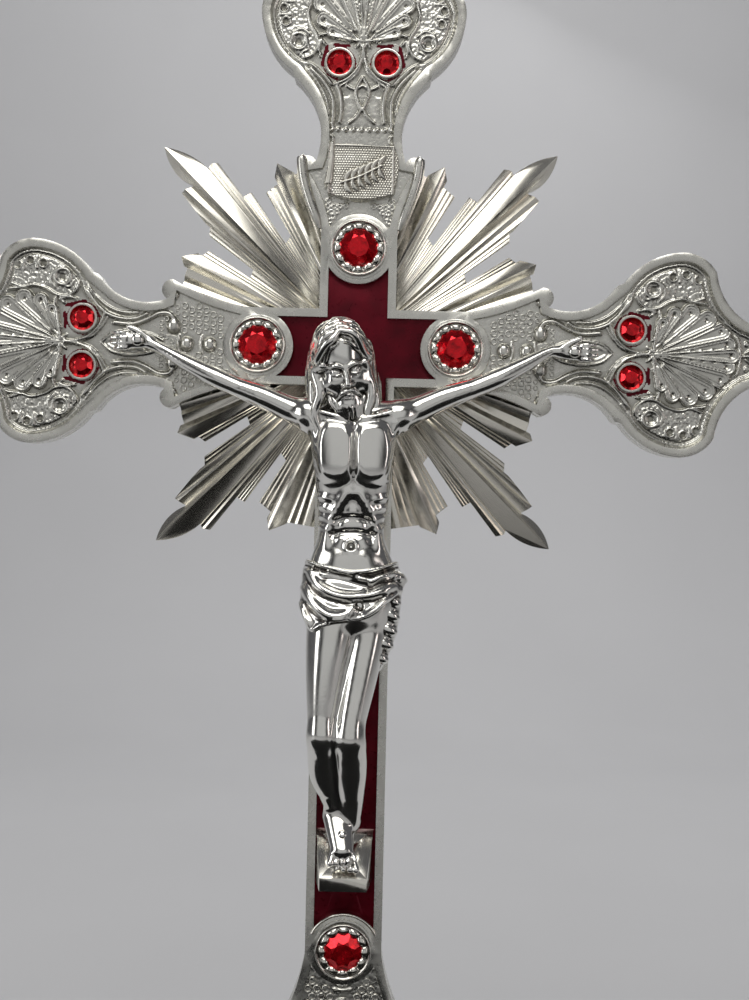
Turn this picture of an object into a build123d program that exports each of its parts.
from build123d import *
import math
import os

# A processional cross head with its knop and staff socket.  Millimetres, +Z up, the viewer stands at -Y.
# Origin: centre of the staff socket's mouth.  Plan shapes are drawn in (x, z) about the crossing.

# ---- Heights -------------------------------------------------------------------------------------
CROSSING_Z = 531.0          # crossing of the arms above the socket mouth
SOCKET_TOP_Z = 92.0
KNOP_CENTRE_Z = 124.0
KNOP_HALF_HEIGHT = 24.0
COLLAR_TOP_Z = 172.0

# ---- Cross outline -------------------------------------------------------------------------------
ARM_HALF_WIDTH = 15.3       # outside of the polished rails
WINDOW_HALF_WIDTH = 12.0    # inside of the rails, where the inlay shows
FLARE_START = 44.0          # distance along a side arm where it starts to widen
ARM_SHIFTS = {"right": 0.0, "top": 4.0, "left": 0.0, "bottom": 199.0}
ARM_ANGLES = {"right": 0.0, "top": 90.0, "left": 180.0, "bottom": 270.0}
EAR_SHIFTS = {"right": 0.0, "top": -6.0, "left": 0.0, "bottom": 0.0}
BOSS_DISTANCES = {"right": 39.5, "top": 39.5, "left": 39.5, "bottom": 241.0}
BORDER_WIDTH = 3.4

# ---- Depths, negative towards the viewer -----------------------------------------------------------
FRONT_FACE_Y = -5.5
FLOOR_Y = -3.9
INLAY_FRONT_Y = -3.3
INLAY_BACK_Y = -0.1
COVER_BACK_Y = 4.5
COVER_FLOOR_Y = 3.7
INLAY_LIP = 1.2
FIT_GAP = 0.1

# ---- Back of the cover -----------------------------------------------------------------------------
SCREW_PAD_RADIUS = 4.5
BACK_BOSS_RADII = (11.0, 7.5)       # outside and inside of the ring behind each large gem
BACK_BOSS_HEIGHT = 0.8
MEDALLION_RADII = (13.5, 10.0)
MEDALLION_HEIGHT = 1.2
MEDALLION_SINK = 0.8

# ---- Gem settings --------------------------------------------------------------------------------
BOSS_RADIUS = 14.0
BOSS_STEP_RADIUS = 12.2
BOSS_STEP_Y = -6.3
CUP_RADIUS = 10.0
CUP_SEAT_Y = -4.8
CUP_FLOOR_Y = -6.0
CUP_RIM_Y = -8.8
PETALS = 12
CLAW_NOTCH_RADIUS = 1.3
LARGE_GEM_RADIUS = 8.0
LARGE_GEM_HEIGHT = 4.6
SMALL_GEM_RADIUS = 5.0
SMALL_GEM_HEIGHT = 3.0
SMALL_GEM_SEAT_Y = -3.5
SMALL_GEM_DISTANCE = 110.0
SMALL_GEM_SIDE = 9.5
SMALL_RIM_RADIUS = 5.9
SMALL_RIM_Y = -5.7
GIRDLE_SHARE = 0.35         # of a gem's height
# Rows of facets: count, first angle, tilt, and where they start as shares of the radius and the crown.
FACET_ROWS = ((16, 11.25, 48.0, 1.0, 0.0), (8, 0.0, 38.0, 0.985, 0.0), (8, 22.5, 24.0, 0.80, 0.62))

# ---- Rays ------------------------------------------------------------------------------------------
# Each ray: the edges between its narrow ridges, then the (angle, radius) corners of its end.
# Angles are in degrees from the diagonal, negative towards the side arm.
RAY_INNER_RADIUS = 19.0
RAY_BACK_Y = 2.4
RAY_APEX_Y = 0.75
RAY_VALLEY_FALL = 0.008
RAY_FACET_SLOPE = 0.6
RAY_RIDGE_SHARE = 0.36
RAY_TIP_RADIUS = 111.7
RAYS = [
    ([-33.0, -27.5], [(-33.0, 74.0), (-27.5, 75.0)]),
    ([-27.5, -24.5, -20.5], [(-27.5, 75.0), (-20.5, 76.3)]),
    ([-20.5, -15.0], [(-20.5, 78.0), (-18.6, 80.0), (-15.0, 75.5)]),
    ([-15.0, -13.9, -12.5], [(-15.0, 73.4), (-12.5, 72.0)]),
    ([-12.5, -10.8, -8.7], [(-12.5, 52.0), (-8.7, 53.0)]),
    ([-8.7, -7.6, -6.5], [(-8.7, 75.5), (-6.5, 77.5)]),
    ([-6.5, -4.5, -1.3], [(-6.5, 80.0), (-5.4, 88.0), (-4.5, 95.4), (-1.3, 93.8)]),
    ([4.3, 5.3, 7.1], [(4.3, 95.0), (5.3, 95.8), (7.1, 94.4)]),
    ([7.1, 8.0, 8.9, 9.9], [(7.1, 77.2), (9.9, 76.8)]),
    ([9.9, 11.0, 12.3, 13.6], [(9.9, 52.0), (13.6, 53.4)]),
    ([13.6, 14.9, 16.5, 18.2], [(13.6, 73.4), (18.2, 74.4)]),
    ([18.2, 24.2], [(18.2, 77.6), (20.5, 81.4), (24.2, 76.2)]),
    ([24.2, 26.6, 29.0, 33.0], [(24.2, 75.5), (33.0, 74.0)]),
]
BLADE_EDGES = (-1.3, 4.3)
BLADE_SHOULDER_RADIUS = 94.0

# ---- Fasteners -----------------------------------------------------------------------------------
COVER_SCREW_RADIUS = 1.5
COVER_SCREW_TIP_Y = -3.0
COVER_SCREW_SPOT = (126.0, 30.0)      # along and across a side arm
RAY_SCREW_RADIUS = 1.2
RAY_SCREW_SPOT = (60.0, 16.8)
RAY_SCREW_TIP_Y = -3.0
SCREW_HEAD_RATIO = 1.75
SCREW_HEAD_DEPTH = 1.4
NAIL_RADIUS = 0.9
NAIL_TIP_Y = -1.5
HAND_SPOTS = {"nail_left_hand": (-86.4, 0.4), "nail_right_hand": (86.2, -0.6)}
HAND_NAIL_HEAD_Y = -12.3
HAND_NAIL_HEAD_RADIUS = 2.5
FOOT_NAIL_HEAD = (-1.0, -21.0, -190.2)
FOOT_NAIL_LENGTH = 18.0
FOOT_NAIL_HEAD_RADIUS = 1.8
CORPUS_SCREW_Z = -45.0
CORPUS_SCREW_TIP_Y = -14.0
FOOT_SCREW_SPOT = (0.0, -208.0)
FOOT_SCREW_TIP_Y = -12.0
TITLE_PIN_SPOTS = ((0.0, 61.0), (0.0, 79.0))
TITLE_PIN_RADIUS = 0.8

# ---- Title plate and foot rest ---------------------------------------------------------------------
TITLE_LOW = (-13.1, 58.8)
TITLE_HIGH = (13.1, 81.0)
TITLE_FACE_Y = -6.2
TITLE_ROLL_RADIUS = 1.5
FOOT_REST_TOP_Z = -193.0
FOOT_REST_EDGE_Z = -208.2
FOOT_REST_BOTTOM_Z = -213.4
FOOT_REST_EDGE_Y = -19.0
FOOT_REST_BACK_HALF_WIDTH = 11.5
FOOT_REST_EDGE_HALF_WIDTH = 9.2
FOOT_REST_CENTRE_X = -0.4

# ---- Stem, knop and socket -------------------------------------------------------------------------
ROD_RADIUS = 4.0
ROD_BOTTOM_Z = 63.5
TANG_HALF_WIDTH = 6.0
TANG_FRONT_Y = -1.5
TANG_BACK_Y = 2.4
TANG_TOP_Z = 262.0
TANG_BOTTOM_Z = 168.5
TANG_SCREW_HEIGHTS = (205.0, 245.0)
KNOP_RADIUS = 28.0
KNOP_WALL = 1.5
KNOP_BAND_RADIUS = 30.0
SOCKET_RADIUS = 16.0
BORE_RADIUS = 13.0
BORE_DEPTH = 62.0
NUT_CHAMBER_RADIUS = 9.0
NUT_CHAMBER_TOP_Z = 74.0
NUT_FLAT_RADIUS = 6.5
WASHER_THICKNESS = 1.6

# ---- Clamp: a thumb screw that pushes a pad through the socket wall ----------------------------------
CLAMP_Z = 30.0
PAD_RADIUS = 5.0
PAD_FACE_Y = 13.1
PAD_BACK_Y = 16.1
RUNNING_GAP = 0.08
SCREW_TIP_Y = 16.4
BOSS_END_Y = 25.0
BOSS_OUTER_RADIUS = 8.0
THUMB_HEAD_RADIUS = 10.0
THUMB_HEAD_Y = (28.5, 36.0)
THUMB_HEAD_GRIPS = 16


# ---- Drawing helpers -------------------------------------------------------------------------------

def facing_plane(y):
    """Plan drawings at depth y: local x to the right, local y up, measured from the crossing."""
    return Plane(origin=(0, y, CROSSING_Z), x_dir=(1, 0, 0), z_dir=(0, -1, 0))


def slab(plan, back_y, front_y):
    """A flat plate with the given plan between two depths."""
    return extrude(facing_plane(back_y) * plan, amount=back_y - front_y)


def disc(spot, radius):
    return Pos(*spot) * Circle(radius)


def polar(angle, radius):
    return (radius * math.cos(math.radians(angle)), radius * math.sin(math.radians(angle)))


def on_arm(arm, along, across):
    """A plan point on one arm; the top and bottom arms are longer by their shift."""
    angle = math.radians(ARM_ANGLES[arm])
    reach = along + ARM_SHIFTS[arm]
    x = reach * math.cos(angle) - across * math.sin(angle)
    return (x, reach * math.sin(angle) + across * math.cos(angle))


def boss_centre(arm):
    return polar(ARM_ANGLES[arm], BOSS_DISTANCES[arm])


def turned(points):
    """A turned solid from (radius, height) points."""
    return revolve(make_face(Plane.XZ * Polyline(*points, close=True)), Axis.Z)


def rod_along_y(x, z, radius, back_y, front_y):
    """A round rod between two depths at an absolute height z."""
    plane = Plane(origin=(x, back_y, z), x_dir=(1, 0, 0), z_dir=(0, -1, 0))
    return extrude(plane * Circle(radius), amount=back_y - front_y)


def above_socket(point):
    """A corpus point (x, y, height from the crossing) in the part's own frame."""
    return (point[0], point[1], point[2] + CROSSING_Z)


# ---- Cross outline ---------------------------------------------------------------------------------

def terminal_plan(ear):
    """One arm's end along +x: a flare with an ear (moved by ear), a round neck, a lobe and a finial."""
    half = [
        Line((30, 0), (30, ARM_HALF_WIDTH)),
        Line((30, ARM_HALF_WIDTH), (FLARE_START, ARM_HALF_WIDTH)),
        ThreePointArc((FLARE_START, ARM_HALF_WIDTH), (60 + ear / 2, 19.3), (74 + ear, 25.6)),
        ThreePointArc((74 + ear, 25.6), (78.2 + ear, 22.8), (76.2 + ear, 17.9)),
        ThreePointArc((76.2 + ear, 17.9), (84.5 + ear / 6, 16.3), (104, 27.2)),
        Line((104, 27.2), (106.5, 28)),
        ThreePointArc((106.5, 28), (116, 36.9), (130, 41)),
        ThreePointArc((130, 41), (138, 38.8), (143.5, 33.2)),
        ThreePointArc((143.5, 33.2), (147.6, 21.6), (157, 13)),
        ThreePointArc((157, 13), (164, 8.4), (168, 0)),
        Line((168, 0), (30, 0)),
    ]
    upper = make_face(half)
    return upper + mirror(upper, about=Plane.XZ)


def placed_on_arm(plan, arm):
    """Moves a plan drawn for the right arm to any arm."""
    return Rot(0, 0, ARM_ANGLES[arm]) * Pos(ARM_SHIFTS[arm], 0) * plan


def cross_plan():
    """The whole silhouette: two bars and four terminals."""
    bar = Rectangle(100, 2 * ARM_HALF_WIDTH)
    lower_reach = ARM_SHIFTS["bottom"] + FLARE_START
    post = Pos(0, (50 - lower_reach) / 2) * Rectangle(2 * ARM_HALF_WIDTH, 50 + lower_reach)
    plan = bar + post
    for arm in ARM_ANGLES:
        plan += placed_on_arm(terminal_plan(EAR_SHIFTS[arm]), arm)
    return plan


def window_plan(grow=0.0):
    """The cross-shaped window between the rails; it stops at the round bosses."""
    half = WINDOW_HALF_WIDTH + grow
    side = BOSS_DISTANCES["right"]
    low = BOSS_DISTANCES["bottom"]
    plan = Rectangle(2 * side, 2 * half)
    plan += Pos(0, (BOSS_DISTANCES["top"] - low) / 2) * Rectangle(2 * half, BOSS_DISTANCES["top"] + low)
    for arm in ARM_ANGLES:
        plan -= disc(boss_centre(arm), BOSS_RADIUS - grow)
    return plan


def terminal_floor(arm):
    """The sunk ground inside one terminal's border; the border is about BORDER_WIDTH wide all round."""
    ear = EAR_SHIFTS[arm]
    neck_side = 16.3 - BORDER_WIDTH
    lobe_top = 41.0 - BORDER_WIDTH
    half = [
        Line((FLARE_START, 0), (FLARE_START, WINDOW_HALF_WIDTH)),
        ThreePointArc((FLARE_START, WINDOW_HALF_WIDTH), (60 + ear / 2, 16.0), (72.6 + ear, 21.4)),
        Line((72.6 + ear, 21.4), (73.6 + ear, 15.4)),
        ThreePointArc((73.6 + ear, 15.4), (84.5 + ear / 6, neck_side), (102.5, 20.1)),
        Line((102.5, 20.1), (108.6, 25.2)),
        ThreePointArc((108.6, 25.2), (117.5, 34.2), (130, lobe_top)),
        ThreePointArc((130, lobe_top), (136.4, 35.9), (140.6, 31.6)),
        ThreePointArc((140.6, 31.6), (144.6, 19.6), (154.6, 10.2)),
        ThreePointArc((154.6, 10.2), (161.0, 6.2), (163.6, 0)),
        Line((163.6, 0), (FLARE_START, 0)),
    ]
    upper = make_face(half)
    inner = upper + mirror(upper, about=Plane.XZ)
    return placed_on_arm(inner, arm) - disc(boss_centre(arm), BOSS_RADIUS)


# ---- Gems ------------------------------------------------------------------------------------------

def brilliant(radius, height):
    """A flat-backed round gem: girdle, then rows of crown facets up to a flat table.  Table towards +z."""
    girdle = GIRDLE_SHARE * height
    gem = Pos(0, 0, height / 2) * Cylinder(radius, height)
    block = Pos(0, 0, 2 * radius) * Box(4 * radius, 4 * radius, 4 * radius)
    for count, first, tilt, reach, lift in FACET_ROWS:
        level = girdle + lift * (height - girdle)
        cut = Pos(radius * reach, 0, level) * Rot(0, tilt, 0) * block
        for turn in range(count):
            gem -= Rot(0, 0, first + turn * 360.0 / count) * cut
    return gem


def facing_viewer(solid, spot, y):
    """Stands a solid drawn along +z on a plan point, so that its +z looks at the viewer."""
    return Location(facing_plane(y)) * Pos(spot[0], spot[1], 0) * solid


def gem_cup():
    """A claw cup: a flat seat inside a ring of petals.  Opens towards +z."""
    depth = CUP_SEAT_Y - CUP_RIM_Y
    floor = CUP_SEAT_Y - CUP_FLOOR_Y
    cup = Pos(0, 0, floor / 2) * Cylinder(CUP_RADIUS - 0.05, floor)
    wall = Pos(0, 0, depth / 2) * Cylinder(CUP_RADIUS - 0.4, depth)
    wall -= Pos(0, 0, depth / 2 + floor) * Cylinder(LARGE_GEM_RADIUS + 0.05, depth)
    for petal in range(PETALS):
        angle = (petal + 0.5) * 360.0 / PETALS
        notch = Rot(0, 0, angle) * Pos(CUP_RADIUS, 0, depth) * Rot(0, 90, 0) * Cylinder(CLAW_NOTCH_RADIUS, 8)
        wall -= notch
    return cup + wall


# ---- Front casting, inlay and back cover -------------------------------------------------------------

def small_gem_spots(arm):
    return [on_arm(arm, SMALL_GEM_DISTANCE, side * SMALL_GEM_SIDE) for side in (1, -1)]


def cover_screw_spots():
    along, across = COVER_SCREW_SPOT
    return [on_arm(arm, along, side * across) for arm in ARM_ANGLES for side in (1, -1)]


def ray_screw_spots():
    """Every ray casting has a screw in the side arm; the upper two also have one in the top arm."""
    along, across = RAY_SCREW_SPOT
    sides = [(sx * along, sz * across) for sx in (1, -1) for sz in (1, -1)]
    return sides + [(across, along), (-across, along)]


def tang_screw_spots():
    return [(0.0, height - CROSSING_Z) for height in TANG_SCREW_HEIGHTS]


def shanks(spots, radius, tip_y):
    """Plain cylinders from the back of the cover to a tip depth, used as screws and as their holes."""
    return [slab(disc(spot, radius), COVER_BACK_Y, tip_y) for spot in spots]


def tang_block(gap=0.0):
    """The flat tang, or the slot for it."""
    low, high = TANG_BOTTOM_Z - gap, TANG_TOP_Z + gap
    block = Box(2 * (TANG_HALF_WIDTH + gap), TANG_BACK_Y - TANG_FRONT_Y + 2 * gap, high - low)
    return Pos(0, (TANG_BACK_Y + TANG_FRONT_Y) / 2, (low + high) / 2) * block


def rod_hole():
    """Clearance for the threaded rod from the knop up to the tang."""
    length = TANG_BOTTOM_Z - KNOP_CENTRE_Z
    return Pos(0, 0, KNOP_CENTRE_Z + length / 2) * Cylinder(ROD_RADIUS + FIT_GAP, length)


def front_frame(plan):
    """The front casting: raised rails and borders round sunk grounds, the window, and all gem seats."""
    frame = slab(plan, 0, FRONT_FACE_Y)
    for arm in ARM_ANGLES:
        frame -= slab(terminal_floor(arm), FLOOR_Y, FRONT_FACE_Y - 1)
    for arm in ARM_ANGLES:
        centre = boss_centre(arm)
        frame += slab(disc(centre, BOSS_STEP_RADIUS), FRONT_FACE_Y, BOSS_STEP_Y)
        frame -= slab(disc(centre, CUP_RADIUS), CUP_SEAT_Y, BOSS_STEP_Y - 1)
        for spot in small_gem_spots(arm):
            frame += slab(disc(spot, SMALL_RIM_RADIUS), FLOOR_Y, SMALL_RIM_Y)
            frame -= slab(disc(spot, SMALL_GEM_RADIUS + 0.05), SMALL_GEM_SEAT_Y, SMALL_RIM_Y - 1)
    frame -= slab(window_plan(), 0, FRONT_FACE_Y - 1)
    frame -= slab(window_plan(INLAY_LIP), 0, INLAY_FRONT_Y)
    frame -= tang_block(FIT_GAP) + rod_hole()
    frame -= shanks(cover_screw_spots(), COVER_SCREW_RADIUS, COVER_SCREW_TIP_Y)
    frame -= shanks(tang_screw_spots(), COVER_SCREW_RADIUS, COVER_SCREW_TIP_Y)
    frame -= shanks(ray_screw_spots(), RAY_SCREW_RADIUS, RAY_SCREW_TIP_Y)
    frame -= [slab(disc(spot, NAIL_RADIUS), NAIL_TIP_Y, -20) for spot in HAND_SPOTS.values()]
    frame -= [slab(disc(spot, TITLE_PIN_RADIUS), NAIL_TIP_Y, -20) for spot in TITLE_PIN_SPOTS]
    return frame


def inlay_panel():
    """The dark red panel behind the window, held by its lip."""
    panel = slab(window_plan(INLAY_LIP - FIT_GAP), INLAY_BACK_Y, INLAY_FRONT_Y)
    panel -= slab(disc((0, CORPUS_SCREW_Z), RAY_SCREW_RADIUS + FIT_GAP), 1, -6)
    panel -= slab(disc(FOOT_SCREW_SPOT, RAY_SCREW_RADIUS + FIT_GAP), 1, -6)
    return panel


def screw_heads(spots, radius):
    """Countersunk heads, flush with the back of the cover."""
    head = Pos(0, 0, SCREW_HEAD_DEPTH / 2) * Cone(radius * SCREW_HEAD_RATIO, radius, SCREW_HEAD_DEPTH)
    return [facing_viewer(head, spot, COVER_BACK_Y) for spot in spots]


def back_cover(plan):
    """The back plate: pockets for the ray castings and the tang, sunk panels and a centre medallion."""
    cover = slab(plan, COVER_BACK_Y, 0)
    for arm in ARM_ANGLES:
        sunk = terminal_floor(arm)
        for spot in cover_screw_spots():
            sunk -= disc(spot, SCREW_PAD_RADIUS)
        cover -= slab(sunk, COVER_BACK_Y + 1, COVER_FLOOR_Y)
        centre = boss_centre(arm)
        cover += slab(disc(centre, BACK_BOSS_RADII[0]), COVER_BACK_Y + BACK_BOSS_HEIGHT, COVER_BACK_Y)
        cover -= slab(disc(centre, BACK_BOSS_RADII[1]), COVER_BACK_Y + 1, COVER_BACK_Y)
    medallion_y = COVER_BACK_Y + MEDALLION_HEIGHT
    cover += slab(Circle(MEDALLION_RADII[0]), medallion_y, COVER_BACK_Y)
    cover -= slab(Circle(MEDALLION_RADII[1]), medallion_y + 1, medallion_y - MEDALLION_SINK)
    pocket = slab(ray_footprint(0.2), RAY_BACK_Y + FIT_GAP, -1)
    for casting in four_ways(pocket):
        cover -= casting
    cover -= tang_block(FIT_GAP) + rod_hole()
    holes = [(cover_screw_spots() + tang_screw_spots(), COVER_SCREW_RADIUS)]
    holes += [(ray_screw_spots() + [(0, CORPUS_SCREW_Z), FOOT_SCREW_SPOT], RAY_SCREW_RADIUS)]
    for spots, radius in holes:
        cover -= shanks(spots, radius + FIT_GAP, -1)
        cover -= screw_heads(spots, radius)
    return cover


# ---- Rays ------------------------------------------------------------------------------------------

def ray_footprint(grow=0.0):
    """Plan of the part of a ray casting that lies between the front casting and the cover."""
    reach = 84.0
    first, last = 45 + RAYS[0][0][0], 45 + RAYS[-1][0][-1]
    side = math.degrees(math.asin(grow / RAY_INNER_RADIUS)) if grow else 0.0
    inner = RAY_INNER_RADIUS - grow
    start, end = first - side, last + side
    middle = (start + end) / 2
    outline = [
        Line(polar(start, inner), polar(start, reach)),
        ThreePointArc(polar(start, reach), polar(middle, reach), polar(end, reach)),
        Line(polar(end, reach), polar(end, inner)),
        ThreePointArc(polar(end, inner), polar(middle, inner), polar(start, inner)),
    ]
    return make_face(outline)


def ray_wedge(first, ridge, last):
    """A three-sided wedge that grows from the crossing: two facets meet on a ridge."""
    reach = 130.0
    half_width = math.radians(max(last - ridge, ridge - first))
    rise = RAY_FACET_SLOPE * half_width - RAY_VALLEY_FALL

    def point(angle, slope):
        x, z = polar(45 + angle, reach)
        return (x, RAY_APEX_Y + slope * reach, z + CROSSING_Z)

    apex = (0, RAY_APEX_Y, CROSSING_Z)
    apex_back = (0, RAY_BACK_Y, CROSSING_Z)
    low_first, low_last = point(first, RAY_VALLEY_FALL), point(last, RAY_VALLEY_FALL)
    top = point(ridge, -rise)
    back_first, back_last = [(p[0], RAY_BACK_Y, p[2]) for p in (low_first, low_last)]
    back_ridge = (top[0], RAY_BACK_Y, top[2])
    loops = [
        (apex, low_first, top), (apex, top, low_last),
        (apex, low_first, back_first, apex_back), (apex, low_last, back_last, apex_back),
        (apex_back, back_first, back_ridge), (apex_back, back_ridge, back_last),
        (low_first, top, back_ridge, back_first), (top, low_last, back_last, back_ridge),
    ]
    return Solid(Shell([Face(Wire.make_polygon(loop)) for loop in loops]))


def straight_ray(edges, tips):
    """One ray of one or more narrow ridges, cut off at its tip points."""
    points = [polar(45 + edges[0], RAY_INNER_RADIUS)]
    points += [polar(45 + angle, radius) for angle, radius in tips]
    points += [polar(45 + edges[-1], RAY_INNER_RADIUS)]
    block = slab(make_face(Polyline(*points, close=True)), RAY_BACK_Y + 1, -12)
    ridges = []
    for first, last in zip(edges, edges[1:]):
        ridges.append(ray_wedge(first, first + RAY_RIDGE_SHARE * (last - first), last) & block)
    return ridges


def blade_ray():
    """The long ray on the diagonal, with a pointed leaf-shaped tip."""
    low, high = BLADE_EDGES
    shoulder_low = polar(45 + low, BLADE_SHOULDER_RADIUS)
    shoulder_high = polar(45 + high, BLADE_SHOULDER_RADIUS)
    tip = polar(45, RAY_TIP_RADIUS)
    inner_low, inner_high = polar(45 + low, RAY_INNER_RADIUS), polar(45 + high, RAY_INNER_RADIUS)
    outline = [
        Line(inner_low, shoulder_low),
        ThreePointArc(shoulder_low, polar(45 - 1.9, 104), tip),
        ThreePointArc(tip, polar(45 + 2.6, 105), shoulder_high),
        Line(shoulder_high, inner_high),
        Line(inner_high, inner_low),
    ]
    return ray_wedge(low - 1.2, 0.0, high) & slab(make_face(outline), RAY_BACK_Y + 1, -12)


def ray_casting(plan, screw_spots):
    """One quarter's fan of rays; in front of the tab it keeps clear of the front casting."""
    fan = blade_ray()
    for edges, tips in RAYS:
        fan += straight_ray(edges, tips)
    fan -= slab(plan, FIT_GAP, -12)
    for spot in screw_spots:
        fan -= slab(disc(spot, RAY_SCREW_RADIUS + FIT_GAP), COVER_BACK_Y, -12)
    return fan


def four_ways(shape):
    """The same shape in each quarter: upper right, upper left, lower right, lower left."""
    level = Plane(origin=(0, 0, CROSSING_Z), z_dir=(0, 0, 1))
    lower = mirror(shape, about=level)
    return [shape, mirror(shape, about=Plane.YZ), lower, mirror(lower, about=Plane.YZ)]


# ---- Corpus and its fittings -------------------------------------------------------------------------

def ellipse_section(x, y, z, rx, ry):
    return Plane(origin=(x, y, z + CROSSING_Z), z_dir=(0, 0, 1)) * Ellipse(rx, ry)


def limb(sections):
    """A smooth limb through round sections: ((x, y, height from the crossing), radius)."""
    places = [Vector(*above_socket(point)) for point, _ in sections]
    rings = []
    for number, (_, radius) in enumerate(sections):
        along = places[min(number + 1, len(places) - 1)] - places[max(number - 1, 0)]
        across = along.cross(Vector(0, 1, 0))
        rings.append(Plane(origin=places[number], x_dir=across, z_dir=along) * Circle(radius))
    return loft(rings, ruled=True)


def foot_rest():
    """A wedge-shaped block under the feet, its top sloping down to the viewer."""
    half_back, half_edge = FOOT_REST_BACK_HALF_WIDTH, FOOT_REST_EDGE_HALF_WIDTH
    back_y = INLAY_FRONT_Y
    side = Polyline((back_y, FOOT_REST_TOP_Z), (FOOT_REST_EDGE_Y, FOOT_REST_EDGE_Z),
                    (FOOT_REST_EDGE_Y, FOOT_REST_BOTTOM_Z), (back_y, FOOT_REST_BOTTOM_Z), close=True)
    plane = Plane(origin=(FOOT_REST_CENTRE_X - 15, 0, CROSSING_Z), x_dir=(0, 1, 0), z_dir=(1, 0, 0))
    block = extrude(plane * make_face(side), amount=30)
    taper = Polyline((-half_back, back_y), (half_back, back_y),
                     (half_edge, FOOT_REST_EDGE_Y), (-half_edge, FOOT_REST_EDGE_Y), close=True)
    top_view = Plane(origin=(FOOT_REST_CENTRE_X, 0, CROSSING_Z + FOOT_REST_BOTTOM_Z - 5), z_dir=(0, 0, 1))
    block &= extrude(top_view * make_face(taper), amount=40)
    block -= slab(disc(FOOT_SCREW_SPOT, RAY_SCREW_RADIUS), 0, FOOT_SCREW_TIP_Y)
    return block - foot_nail_shank()


def corpus():
    """The figure on the cross: body, head, outstretched arms, bent knees and crossed feet."""
    body = [
        (-0.5, -15.5, -24.0, 15.0, 6.0), (-0.5, -16.5, -33.0, 16.8, 8.8), (-0.3, -17.0, -46.0, 15.8, 9.4),
        (0.0, -15.5, -60.0, 14.0, 8.4), (-0.4, -14.5, -74.0, 13.0, 7.6), (0.2, -15.5, -88.0, 17.2, 9.4),
        (0.6, -16.0, -100.0, 18.2, 10.2), (-0.5, -16.5, -113.0, 16.8, 9.4),
    ]
    figure = loft([ellipse_section(*section) for section in body])
    neck_and_head = [
        ((-1.5, -16.0, -30.0), 4.6), ((-2.4, -18.0, -22.0), 5.6), ((-3.4, -19.6, -18.5), 8.6),
        ((-4.6, -20.4, -12.0), 11.6), ((-5.6, -21.0, -4.0), 12.0), ((-6.4, -21.6, 3.0), 9.4),
        ((-6.8, -22.0, 8.4), 3.0),
    ]
    left_arm = [
        ((-6.0, -15.5, -30.0), 6.0), ((-17.0, -15.5, -28.4), 5.6), ((-36.0, -15.5, -22.4), 4.2),
        ((-56.0, -14.0, -14.4), 3.8), ((-77.0, -10.2, -2.9), 2.5), ((-84.0, -9.2, -0.6), 3.1),
        ((-94.5, -9.0, 0.8), 2.2),
    ]
    right_arm = [
        ((5.0, -15.5, -30.0), 6.0), ((16.4, -15.5, -28.0), 5.6), ((36.0, -15.5, -20.6), 4.2),
        ((56.0, -14.0, -12.4), 3.8), ((76.0, -10.2, -0.9), 2.5), ((83.0, -9.2, -0.2), 3.1),
        ((92.5, -9.0, -0.8), 2.2),
    ]
    left_leg = [
        ((-7.8, -17.0, -104.0), 8.4), ((-9.2, -20.0, -128.0), 7.4), ((-10.4, -23.5, -150.0), 5.4),
        ((-8.4, -20.0, -163.0), 5.0), ((-4.6, -13.6, -181.0), 3.9), ((-2.6, -12.6, -186.0), 3.8),
        ((-0.2, -17.6, -192.6), 3.6), ((0.4, -23.8, -199.6), 2.9),
    ]
    right_leg = [
        ((6.6, -17.0, -104.0), 8.8), ((2.6, -20.4, -128.0), 7.4), ((-0.6, -24.5, -150.0), 5.2),
        ((-0.8, -20.0, -165.0), 4.8), ((-1.2, -11.6, -184.0), 3.8), ((-1.4, -10.0, -189.6), 3.7),
        ((-1.0, -14.0, -196.6), 3.6), ((-0.6, -18.6, -202.6), 3.0),
    ]
    for sections in (neck_and_head, left_arm, right_arm, left_leg, right_leg):
        figure += limb(sections)
    figure -= Pos(0, 14.4, CROSSING_Z - 100) * Box(240, 40, 400)
    figure -= foot_rest()
    figure -= slab(disc((0, CORPUS_SCREW_Z), RAY_SCREW_RADIUS), 0, CORPUS_SCREW_TIP_Y)
    figure -= foot_nail_shank()
    for spot in HAND_SPOTS.values():
        figure -= slab(disc(spot, NAIL_RADIUS), 0, -20)
    return figure


def foot_nail_plane():
    """Seat of the foot nail's head; its axis is square to the foot rest's slope."""
    run, drop = INLAY_FRONT_Y - FOOT_REST_EDGE_Y, FOOT_REST_TOP_Z - FOOT_REST_EDGE_Z
    return Plane(origin=above_socket(FOOT_NAIL_HEAD), x_dir=(1, 0, 0), z_dir=(0, -drop, run))


def foot_nail_shank():
    return extrude(foot_nail_plane() * Circle(NAIL_RADIUS), amount=-FOOT_NAIL_LENGTH)


def nail_dome(radius):
    """A low domed head, flat side at the origin, dome towards +z."""
    return scale(Sphere(radius), by=(1, 1, 0.6)) - Pos(0, 0, -radius) * Box(20, 20, 2 * radius)


def nail(spot, radius, head_radius, tip_y, head_y):
    """A round nail with a domed head that faces the viewer."""
    return slab(disc(spot, radius), tip_y, head_y) + facing_viewer(nail_dome(head_radius), spot, head_y)


def foot_nail():
    return foot_nail_shank() + Location(foot_nail_plane()) * nail_dome(FOOT_NAIL_HEAD_RADIUS)


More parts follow.
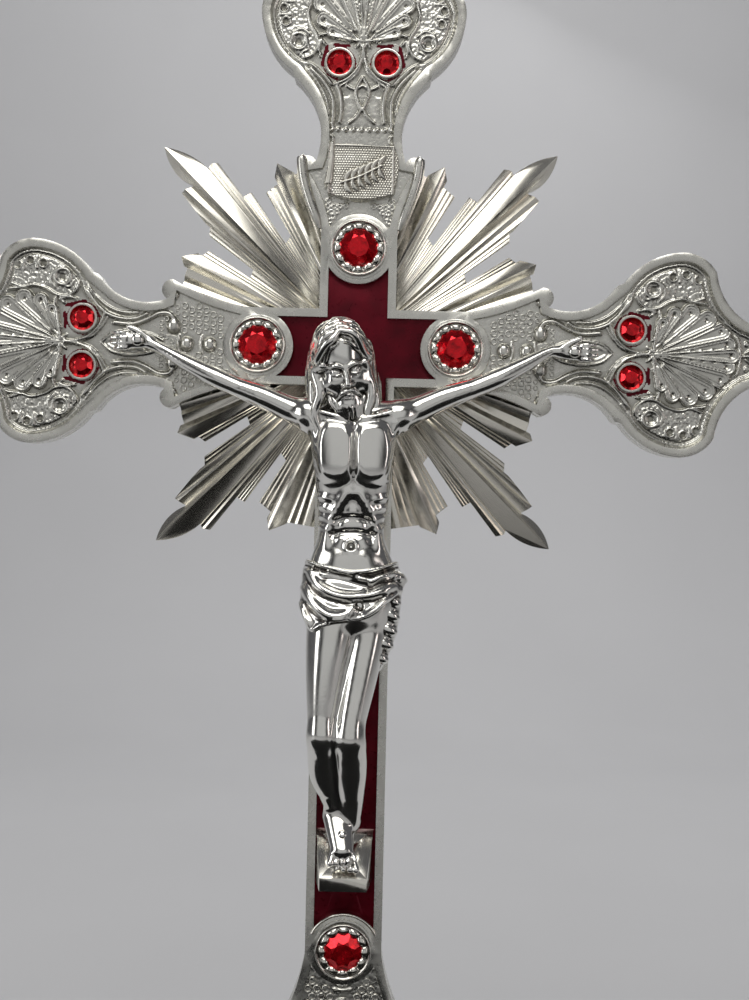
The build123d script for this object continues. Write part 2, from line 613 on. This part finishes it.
def title_plate():
    """A small tablet with a rolled left edge."""
    width = TITLE_HIGH[0] - TITLE_LOW[0]
    height = TITLE_HIGH[1] - TITLE_LOW[1]
    centre = ((TITLE_LOW[0] + TITLE_HIGH[0]) / 2, (TITLE_LOW[1] + TITLE_HIGH[1]) / 2)
    plan = Pos(*centre) * RectangleRounded(width, height, 1.5)
    plate = slab(plan, FLOOR_Y, TITLE_FACE_Y)
    roll_spot = (TITLE_LOW[0] + TITLE_ROLL_RADIUS, TITLE_LOW[1] + CROSSING_Z)
    roll = Pos(roll_spot[0], TITLE_FACE_Y, roll_spot[1] + height / 2) * Cylinder(TITLE_ROLL_RADIUS, height)
    plate += roll
    plate -= [slab(disc(spot, TITLE_PIN_RADIUS), 0, -20) for spot in TITLE_PIN_SPOTS]
    return plate


def title_pins():
    pins = []
    for spot in TITLE_PIN_SPOTS:
        pins.append(nail(spot, TITLE_PIN_RADIUS, 1.3, NAIL_TIP_Y, TITLE_FACE_Y))
    return pins


# ---- Screws from the back ----------------------------------------------------------------------------

def screws(spots, radius, tip_y):
    """Countersunk screws with a slot; the heads lie flush with the back of the cover."""
    made = []
    for spot, shank, head in zip(spots, shanks(spots, radius, tip_y), screw_heads(spots, radius)):
        slot = Pos(spot[0], COVER_BACK_Y, spot[1] + CROSSING_Z) * Box(4 * radius, 1.0, 0.5)
        made.append(shank + head - slot)
    return made


# ---- Stem, knop, socket and clamp ----------------------------------------------------------------------

def stem():
    """A flat tang inside the lower arm that becomes a threaded rod through the knop."""
    length = TANG_BOTTOM_Z - ROD_BOTTOM_Z
    rod = Pos(0, 0, ROD_BOTTOM_Z + length / 2) * Cylinder(ROD_RADIUS, length)
    rod = chamfer(rod.faces().sort_by(Axis.Z)[0].edges(), 0.6)
    return tang_block() + rod - shanks(tang_screw_spots(), COVER_SCREW_RADIUS + FIT_GAP, -4)


def upper_collar(plan):
    """A turned calyx that holds the lower finial of the cross."""
    base = KNOP_CENTRE_Z + KNOP_HALF_HEIGHT
    points = [
        (ROD_RADIUS + FIT_GAP, base), (17.0, base), (17.0, base + 2.4), (12.0, base + 4.2), (9.2, base + 7.4),
        (9.2, base + 8.6), (12.6, base + 9.6), (12.6, base + 11.8), (10.4, base + 12.8), (12.2, base + 16.5),
        (15.6, base + 20.5), (16.4, COLLAR_TOP_Z), (ROD_RADIUS + FIT_GAP, COLLAR_TOP_Z),
    ]
    collar = turned(points)
    return collar - slab(plan, COVER_BACK_Y, FRONT_FACE_Y)


def lower_collar():
    """A turned ring between the socket and the knop."""
    top = KNOP_CENTRE_Z - KNOP_HALF_HEIGHT
    hole = ROD_RADIUS + FIT_GAP
    points = [
        (hole, SOCKET_TOP_Z), (18.0, SOCKET_TOP_Z), (18.0, SOCKET_TOP_Z + 2), (14.5, SOCKET_TOP_Z + 3.4),
        (14.5, top - 2.6), (17.0, top - 1.8), (17.0, top), (hole, top),
    ]
    return turned(points)


def knop_shell(direction):
    """Half of the hollow knop, closed by a flat end with a hole for the rod."""
    outer_end = math.sqrt(KNOP_RADIUS ** 2 - KNOP_HALF_HEIGHT ** 2)
    inner_radius = KNOP_RADIUS - KNOP_WALL
    inner_height = KNOP_HALF_HEIGHT - KNOP_WALL
    inner_end = math.sqrt(inner_radius ** 2 - inner_height ** 2)
    hole = ROD_RADIUS + FIT_GAP
    outline = [
        Line((hole, KNOP_HALF_HEIGHT), (outer_end, KNOP_HALF_HEIGHT)),
        ThreePointArc((outer_end, KNOP_HALF_HEIGHT), polar(30, KNOP_RADIUS), (KNOP_RADIUS, 0)),
        Line((KNOP_RADIUS, 0), (inner_radius, 0)),
        ThreePointArc((inner_radius, 0), polar(30, inner_radius), (inner_end, inner_height)),
        Line((inner_end, inner_height), (hole, inner_height)),
        Line((hole, inner_height), (hole, KNOP_HALF_HEIGHT)),
    ]
    shell = revolve(Plane.XZ * make_face(outline), Axis.Z)
    if direction < 0:
        shell = mirror(shell, about=Plane.XY)
    return Pos(0, 0, KNOP_CENTRE_Z) * shell


def knop_band():
    """A ring over the seam of the knop."""
    ring = Pos(0, 0, KNOP_CENTRE_Z) * Cylinder(KNOP_BAND_RADIUS, 5.0)
    return ring - Pos(0, 0, KNOP_CENTRE_Z) * Sphere(KNOP_RADIUS)


def socket():
    """The staff socket: a tube with a bead at its mouth, a closed top and a chamber for the tie nut."""
    points = [
        (BORE_RADIUS, 0), (17.4, 0), (18.4, 1.6), (18.4, 4.0), (17.4, 5.6), (SOCKET_RADIUS, 6.4),
        (SOCKET_RADIUS, 84.0), (18.0, 86.0), (18.0, SOCKET_TOP_Z), (ROD_RADIUS + FIT_GAP, SOCKET_TOP_Z),
        (ROD_RADIUS + FIT_GAP, NUT_CHAMBER_TOP_Z), (NUT_CHAMBER_RADIUS, NUT_CHAMBER_TOP_Z),
        (NUT_CHAMBER_RADIUS, BORE_DEPTH), (BORE_RADIUS, BORE_DEPTH),
    ]
    tube = turned(points)
    return tube - rod_along_y(0, CLAMP_Z, PAD_RADIUS + RUNNING_GAP, 40, 5)


def tie_washer():
    ring = Cylinder(8.2, WASHER_THICKNESS) - Cylinder(ROD_RADIUS + FIT_GAP, WASHER_THICKNESS + 1)
    return Pos(0, 0, NUT_CHAMBER_TOP_Z - WASHER_THICKNESS / 2) * ring


def tie_nut():
    height = 6.5
    hexagon = RegularPolygon(NUT_FLAT_RADIUS, 6, major_radius=False)
    nut = extrude(hexagon - Circle(ROD_RADIUS), amount=height)
    return Pos(0, 0, NUT_CHAMBER_TOP_Z - WASHER_THICKNESS - height) * nut


def clamp_boss():
    """A threaded boss brazed over the hole in the socket wall."""
    boss = rod_along_y(0, CLAMP_Z, BOSS_OUTER_RADIUS, BOSS_END_Y, 10)
    boss -= Pos(0, 0, CLAMP_Z) * Cylinder(SOCKET_RADIUS, 60)
    boss -= rod_along_y(0, CLAMP_Z, PAD_RADIUS + RUNNING_GAP, 19.5, 5)
    return boss - rod_along_y(0, CLAMP_Z, ROD_RADIUS + RUNNING_GAP, 40, 5)


def clamp_pad():
    return rod_along_y(0, CLAMP_Z, PAD_RADIUS, PAD_BACK_Y, PAD_FACE_Y)


def thumb_screw():
    """A threaded shank with a gripped round head."""
    near, far = THUMB_HEAD_Y
    shank = rod_along_y(0, CLAMP_Z, ROD_RADIUS, near + 1, SCREW_TIP_Y)
    neck = rod_along_y(0, CLAMP_Z, 6.0, near + 1, near - 0.5)
    head = rod_along_y(0, CLAMP_Z, THUMB_HEAD_RADIUS, far, near)
    head = chamfer(head.edges().filter_by(GeomType.CIRCLE), 1.0)
    for grip in range(THUMB_HEAD_GRIPS):
        x, z = polar(grip * 360.0 / THUMB_HEAD_GRIPS, THUMB_HEAD_RADIUS + 0.5)
        head -= rod_along_y(x, CLAMP_Z + z, 1.3, far + 1, near - 1)
    return shank + neck + head


# ---- Assembly --------------------------------------------------------------------------------------

def build():
    """Every node's name and its solid or solids."""
    plan = cross_plan()
    upper_rays = ray_casting(plan, [RAY_SCREW_SPOT, RAY_SCREW_SPOT[::-1]])
    lower_rays = ray_casting(plan, [RAY_SCREW_SPOT])
    nodes = {
        "front_frame": front_frame(plan),
        "back_cover": back_cover(plan),
        "inlay_panel": inlay_panel(),
        "title_plate": title_plate(),
        "title_pins": title_pins(),
        "foot_rest": foot_rest(),
        "corpus": corpus(),
        "nail_feet": foot_nail(),
        "cover_screws": screws(cover_screw_spots(), COVER_SCREW_RADIUS, COVER_SCREW_TIP_Y),
        "tang_screws": screws(tang_screw_spots(), COVER_SCREW_RADIUS, COVER_SCREW_TIP_Y),
        "ray_screws": screws(ray_screw_spots(), RAY_SCREW_RADIUS, RAY_SCREW_TIP_Y),
        "corpus_screw": screws([(0, CORPUS_SCREW_Z)], RAY_SCREW_RADIUS, CORPUS_SCREW_TIP_Y),
        "foot_rest_screw": screws([FOOT_SCREW_SPOT], RAY_SCREW_RADIUS, FOOT_SCREW_TIP_Y),
        "stem": stem(),
        "upper_collar": upper_collar(plan),
        "lower_collar": lower_collar(),
        "knop_upper_shell": knop_shell(1),
        "knop_lower_shell": knop_shell(-1),
        "knop_band": knop_band(),
        "socket": socket(),
        "tie_washer": tie_washer(),
        "tie_nut": tie_nut(),
        "clamp_boss": clamp_boss(),
        "clamp_pad": clamp_pad(),
        "thumb_screw": thumb_screw(),
    }
    for name, spot in HAND_SPOTS.items():
        nodes[name] = nail(spot, NAIL_RADIUS, HAND_NAIL_HEAD_RADIUS, NAIL_TIP_Y, HAND_NAIL_HEAD_Y)
    quarters = ("upper_right", "upper_left", "lower_right", "lower_left")
    castings = four_ways(upper_rays)[:2] + four_ways(lower_rays)[2:]
    for quarter, rays in zip(quarters, castings):
        nodes["rays_" + quarter] = rays
    cup = gem_cup()
    large_gem = brilliant(LARGE_GEM_RADIUS, LARGE_GEM_HEIGHT)
    small_gem = brilliant(SMALL_GEM_RADIUS, SMALL_GEM_HEIGHT)
    for arm in ARM_ANGLES:
        nodes["gem_cup_" + arm] = facing_viewer(cup, boss_centre(arm), CUP_SEAT_Y)
        nodes["large_gem_" + arm] = facing_viewer(large_gem, boss_centre(arm), CUP_FLOOR_Y)
        for number, spot in enumerate(small_gem_spots(arm), start=1):
            nodes["small_gem_" + arm + "_" + str(number)] = facing_viewer(small_gem, spot, SMALL_GEM_SEAT_Y)
    return nodes


def save(nodes):
    os.makedirs("parts", exist_ok=True)
    for name, shape in nodes.items():
        solids = []
        for piece in (shape if isinstance(shape, list) else [shape]):
            solids.extend(piece.solids())
        export_step(Compound(children=solids), os.path.join("parts", name + ".step"))


save(build())
